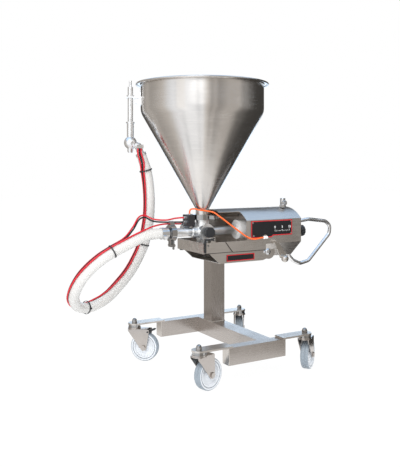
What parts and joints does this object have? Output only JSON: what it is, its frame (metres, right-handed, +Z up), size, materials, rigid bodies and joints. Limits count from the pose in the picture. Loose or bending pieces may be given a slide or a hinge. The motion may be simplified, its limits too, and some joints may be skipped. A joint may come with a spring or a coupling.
{
  "type": "pneumatic filling machine",
  "caption": "Stainless filling machine on a castor stand: cone hopper, rotary valve and piston, with a hose to a hand nozzle that hangs on the hopper.",
  "frame": {"origin": "on the floor, under the middle of the outline's box without the hose, tubes and ties", "axes": "+X towards the handle end, -Y towards the front with the valve knob, +Z up"},
  "size_m": [1.1459, 0.5683, 1.075],
  "materials": {
    "stainless": "brushed",
    "polished_steel": "polished",
    "drive_aluminium": "satin",
    "wheel_nylon": "satin",
    "white_plastic": "satin",
    "black_plastic": "satin",
    "black_rubber": "matt",
    "label": "printed",
    "hose": "satin",
    "tube_red": "glossy",
    "tube_black": "glossy",
    "tube_orange": "glossy"
  },
  "bodies": {
    "frame": {"front_leg": "stainless", "rear_leg": "stainless", "cross_beam": "stainless", "column": "stainless", "castor_plates": "stainless", "castor_stems": "polished_steel", "castor_nuts": "polished_steel", "cradle": "stainless", "base_pan": "stainless", "pan_feet": "black_rubber", "rear_shroud": "stainless", "housing_cover": "stainless", "bulkheads": "stainless", "label_plates": "label", "cover_screws": "polished_steel", "air_cylinder": "drive_aluminium", "cylinder_caps": "drive_aluminium", "product_cylinder": "polished_steel", "cylinder_collar": "white_plastic", "valve_body": "polished_steel", "valve_actuator": "drive_aluminium", "hopper": "stainless", "clamp_gaskets": "white_plastic", "hopper_clamp": "polished_steel", "outlet_tube": "polished_steel", "outlet_clamp": "polished_steel", "hose_fitting": "polished_steel", "hose": "hose", "cable_ties": "black_plastic", "red_air_tubes": "tube_red", "black_air_tube": "tube_black", "orange_air_tube": "tube_orange", "nozzle_body": "polished_steel", "nozzle_spout": "polished_steel", "nozzle_hook": "polished_steel", "handle": "polished_steel", "air_fittings": "polished_steel"},
    "castor_front_left": {"fork_front_left": "polished_steel"},
    "wheel_front_left": {"wheel_front_left": "wheel_nylon"},
    "castor_front_right": {"fork_front_right": "polished_steel"},
    "wheel_front_right": {"wheel_front_right": "wheel_nylon"},
    "castor_rear_left": {"fork_rear_left": "polished_steel"},
    "wheel_rear_left": {"wheel_rear_left": "wheel_nylon"},
    "castor_rear_right": {"fork_rear_right": "polished_steel"},
    "wheel_rear_right": {"wheel_rear_right": "wheel_nylon"},
    "brake_pedal": {"brake_pedal": "black_plastic"},
    "valve_rotor": {"valve_plug": "white_plastic", "valve_knob": "black_plastic"},
    "piston": {"air_piston": "drive_aluminium", "piston_rod": "polished_steel", "product_piston": "white_plastic", "piston_seals": "black_rubber"},
    "stroke_stop": {"thrust_pad": "white_plastic"},
    "stroke_knob": {"stroke_knob": "black_plastic", "stroke_spindle": "polished_steel"},
    "hopper_wing_nut": {"hopper_wing_nut": "polished_steel"},
    "outlet_wing_nut": {"outlet_wing_nut": "polished_steel"},
    "nozzle_button": {"nozzle_button": "polished_steel"},
    "release_lever": {"release_lever": "polished_steel"},
    "pan_latch": {"pan_latch": "black_plastic"}
  },
  "joints": [
    {"name": "castor_swivel_front_left", "type": "hinge", "parent": "frame", "child": "castor_front_left", "pos_m": [-0.36484, -0.25588, 0.1], "axis": [0, 0, 1], "continuous": true},
    {"name": "wheel_spin_front_left", "type": "hinge", "parent": "castor_front_left", "child": "wheel_front_left", "pos_m": [-0.32312, -0.24548, 0.054], "axis": [-0.2419, 0.9703, 0], "continuous": true},
    {"name": "castor_swivel_front_right", "type": "hinge", "parent": "frame", "child": "castor_front_right", "pos_m": [0.08116, -0.25588, 0.1], "axis": [0, 0, 1], "continuous": true},
    {"name": "wheel_spin_front_right", "type": "hinge", "parent": "castor_front_right", "child": "wheel_front_right", "pos_m": [0.11638, -0.23122, 0.054], "axis": [-0.5736, 0.8192, 0], "continuous": true},
    {"name": "castor_swivel_rear_left", "type": "hinge", "parent": "frame", "child": "castor_rear_left", "pos_m": [-0.39284, 0.19412, 0.1], "axis": [0, 0, 1], "continuous": true},
    {"name": "wheel_spin_rear_left", "type": "hinge", "parent": "castor_rear_left", "child": "wheel_rear_left", "pos_m": [-0.36243, 0.16371, 0.054], "axis": [0.7071, 0.7071, 0], "continuous": true},
    {"name": "castor_swivel_rear_right", "type": "hinge", "parent": "frame", "child": "castor_rear_right", "pos_m": [0.09516, 0.19412, 0.1], "axis": [0, 0, 1], "continuous": true},
    {"name": "wheel_spin_rear_right", "type": "hinge", "parent": "castor_rear_right", "child": "wheel_rear_right", "pos_m": [0.11666, 0.23136, 0.054], "axis": [-0.866, 0.5, 0], "continuous": true},
    {"name": "brake_press", "type": "hinge", "parent": "castor_rear_left", "child": "brake_pedal", "pos_m": [-0.35041, 0.15169, 0.1137], "axis": [0.7071, 0.7071, 0], "range_deg": [0, 25]},
    {"name": "valve_turn", "type": "hinge", "parent": "frame", "child": "valve_rotor", "pos_m": [-0.19034, 0.01912, 0.502], "axis": [0, 1, 0], "range_deg": [0, 90]},
    {"name": "piston_stroke", "type": "slide", "parent": "frame", "child": "piston", "axis": [1, 0, 0], "range_m": [0, 0.08]},
    {"name": "stop_slide", "type": "slide", "parent": "frame", "child": "stroke_stop", "axis": [1, 0, 0], "range_m": [-0.045, 0]},
    {"name": "knob_turn", "type": "hinge", "parent": "stroke_stop", "child": "stroke_knob", "pos_m": [0.25616, -0.00588, 0.485], "axis": [1, 0, 0], "range_deg": [-3240, 0]},
    {"name": "hopper_nut_turn", "type": "hinge", "parent": "frame", "child": "hopper_wing_nut", "pos_m": [-0.16434, -0.02591, 0.557], "axis": [0.866, 0.5, 0], "range_deg": [0, 720]},
    {"name": "outlet_nut_turn", "type": "hinge", "parent": "frame", "child": "outlet_wing_nut", "pos_m": [-0.32334, 0.00312, 0.457], "axis": [0, -1, 0], "range_deg": [0, 720]},
    {"name": "nozzle_press", "type": "slide", "parent": "frame", "child": "nozzle_button", "axis": [0, 0, 1], "range_m": [0, 0.005], "stiffness_N_per_m": 800, "springref_m": -0.003},
    {"name": "lever_swing", "type": "hinge", "parent": "frame", "child": "release_lever", "pos_m": [0.07616, -0.08788, 0.459], "axis": [0, -1, 0], "range_deg": [0, 60]},
    {"name": "latch_swing", "type": "hinge", "parent": "frame", "child": "pan_latch", "pos_m": [-0.20384, -0.08688, 0.481], "axis": [0, 1, 0], "range_deg": [0, 80]}
  ],
  "couplings": [
    {"joint": "stop_slide", "follows": "knob_turn", "m_per_rad": 0.00079577}
  ]
}
